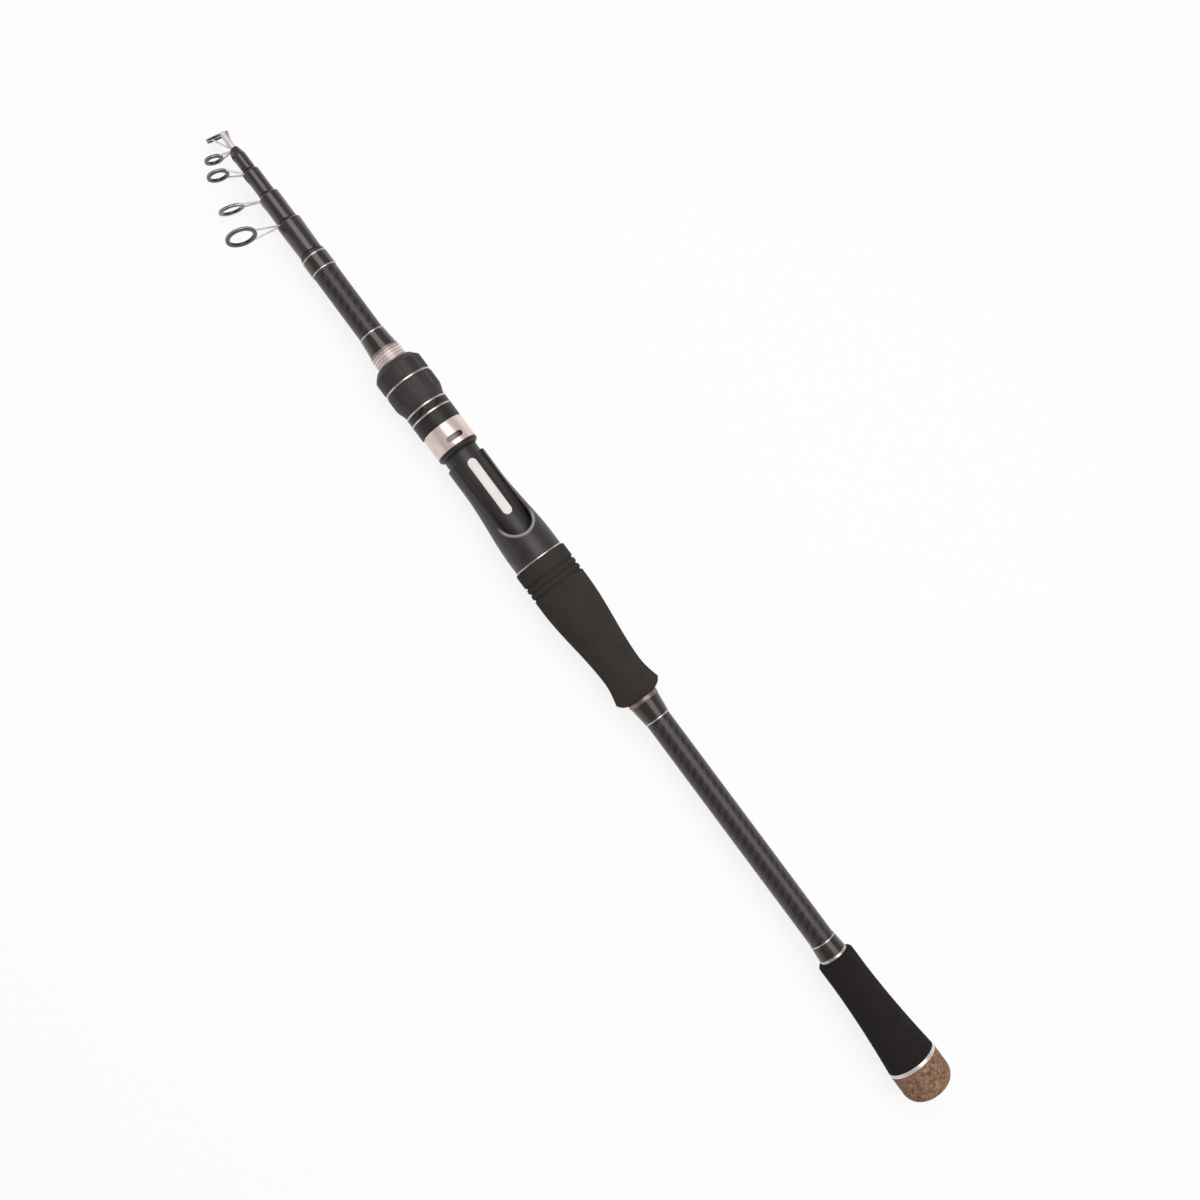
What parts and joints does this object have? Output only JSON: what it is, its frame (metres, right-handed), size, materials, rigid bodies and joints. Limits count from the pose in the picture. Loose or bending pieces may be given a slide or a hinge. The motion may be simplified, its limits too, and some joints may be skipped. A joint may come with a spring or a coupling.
{
  "type": "telescopic fishing rod",
  "caption": "Closed telescopic fishing rod: nested carbon sections with ring guides slide out of a butt with foam grips, a screw-locking reel seat and a cork cap.",
  "frame": {"origin": "centre of the cork butt cap's end face, on the rod's axis", "axes": "+X along the rod from the butt to the tip, +Z out of the reel seat's bed"},
  "size_m": [0.5304, 0.0426, 0.0316],
  "materials": {
    "cork": "bare cork",
    "foam": "closed-cell foam",
    "carbon": "clear-coated woven carbon",
    "lacquer": "lacquered thread",
    "bright_trim": "polished",
    "seat_plastic": "moulded, satin",
    "inlay": "smooth",
    "hood_metal": "brushed",
    "thread_metal": "anodised",
    "nut_plastic": "moulded, satin",
    "nut_carbon": "woven, clear-coated",
    "guide_steel": "polished",
    "guide_ceramic": "polished",
    "arbor": "raw",
    "pad": "matt"
  },
  "bodies": {
    "handle": {"butt_ferrule": "thread_metal", "rear_grip": "foam", "rear_check": "bright_trim", "rear_whipping": "lacquer", "butt_blank": "carbon", "blank_trim_rings": "bright_trim", "grip_whipping": "lacquer", "grip_check": "bright_trim", "main_grip": "foam", "seam_ring": "bright_trim", "seat_body": "seat_plastic", "seat_barrel": "seat_plastic", "seat_arbors": "arbor", "seat_inlay": "inlay", "thread_sleeve": "thread_metal", "fore_whipping": "lacquer", "front_whipping": "lacquer"},
    "cap_carrier": {"butt_ring": "bright_trim"},
    "butt_cap": {"cork_cap": "cork", "cap_screw": "nut_plastic", "cap_pad": "pad"},
    "hood": {"hood_liner": "nut_plastic", "hood_shell": "hood_metal"},
    "lock_nut": {"nut_core": "nut_plastic", "nut_tail": "nut_plastic", "nut_band": "nut_carbon", "nut_band_rings": "bright_trim", "nut_grip": "nut_plastic", "nut_front_ring": "bright_trim", "nut_collar": "nut_plastic"},
    "second_slider": {"second_section": "carbon"},
    "second_guide": {"second_collar": "lacquer", "second_guide_frame": "guide_steel", "second_guide_ring": "guide_ceramic"},
    "third_slider": {"third_section": "carbon"},
    "third_guide": {"third_collar": "lacquer", "third_guide_frame": "guide_steel", "third_guide_ring": "guide_ceramic"},
    "fourth_slider": {"fourth_section": "carbon"},
    "fourth_guide": {"fourth_collar": "lacquer", "fourth_guide_frame": "guide_steel", "fourth_guide_ring": "guide_ceramic"},
    "fifth_slider": {"fifth_section": "carbon"},
    "fifth_guide": {"fifth_collar": "lacquer", "fifth_guide_frame": "guide_steel", "fifth_guide_ring": "guide_ceramic"},
    "tip_slider": {"tip_section": "carbon"},
    "tip_top": {"tip_frame": "guide_steel", "tip_ring": "guide_ceramic"}
  },
  "joints": [
    {"name": "cap_draw", "type": "slide", "parent": "handle", "child": "cap_carrier", "axis": [-1, 0, 0], "range_m": [0, 0.012]},
    {"name": "cap_turn", "type": "hinge", "parent": "cap_carrier", "child": "butt_cap", "pos_m": [0, 0, 0], "axis": [-1, 0, 0], "range_deg": [0, 2880.5]},
    {"name": "hood_slide", "type": "slide", "parent": "handle", "child": "hood", "axis": [1, 0, 0], "range_m": [-0.004, 0.005]},
    {"name": "nut_turn", "type": "hinge", "parent": "hood", "child": "lock_nut", "pos_m": [0.38, 0, 0], "axis": [1, 0, 0], "range_deg": [-960.5, 1200.5]},
    {"name": "second_slide", "type": "slide", "parent": "handle", "child": "second_slider", "axis": [1, 0, 0], "range_m": [0, 0.3387]},
    {"name": "second_turn", "type": "hinge", "parent": "second_slider", "child": "second_guide", "pos_m": [0.4764, 0, 0], "axis": [1, 0, 0], "continuous": true},
    {"name": "third_slide", "type": "slide", "parent": "second_slider", "child": "third_slider", "axis": [1, 0, 0], "range_m": [0, 0.3613]},
    {"name": "third_turn", "type": "hinge", "parent": "third_slider", "child": "third_guide", "pos_m": [0.4913, 0, 0], "axis": [1, 0, 0], "continuous": true},
    {"name": "fourth_slide", "type": "slide", "parent": "third_slider", "child": "fourth_slider", "axis": [1, 0, 0], "range_m": [0, 0.3812]},
    {"name": "fourth_turn", "type": "hinge", "parent": "fourth_slider", "child": "fourth_guide", "pos_m": [0.5045, 0, 0], "axis": [1, 0, 0], "continuous": true},
    {"name": "fifth_slide", "type": "slide", "parent": "fourth_slider", "child": "fifth_slider", "axis": [1, 0, 0], "range_m": [0, 0.3994]},
    {"name": "fifth_turn", "type": "hinge", "parent": "fifth_slider", "child": "fifth_guide", "pos_m": [0.5165, 0, 0], "axis": [1, 0, 0], "continuous": true},
    {"name": "tip_slide", "type": "slide", "parent": "fifth_slider", "child": "tip_slider", "axis": [1, 0, 0], "range_m": [0, 0.4164]},
    {"name": "tip_turn", "type": "hinge", "parent": "tip_slider", "child": "tip_top", "pos_m": [0.5165, 0, 0], "axis": [1, 0, 0], "continuous": true}
  ],
  "couplings": [
    {"joint": "cap_turn", "follows": "cap_draw", "rad_per_m": 4188.8},
    {"joint": "nut_turn", "follows": "hood_slide", "rad_per_m": 4188.8}
  ]
}
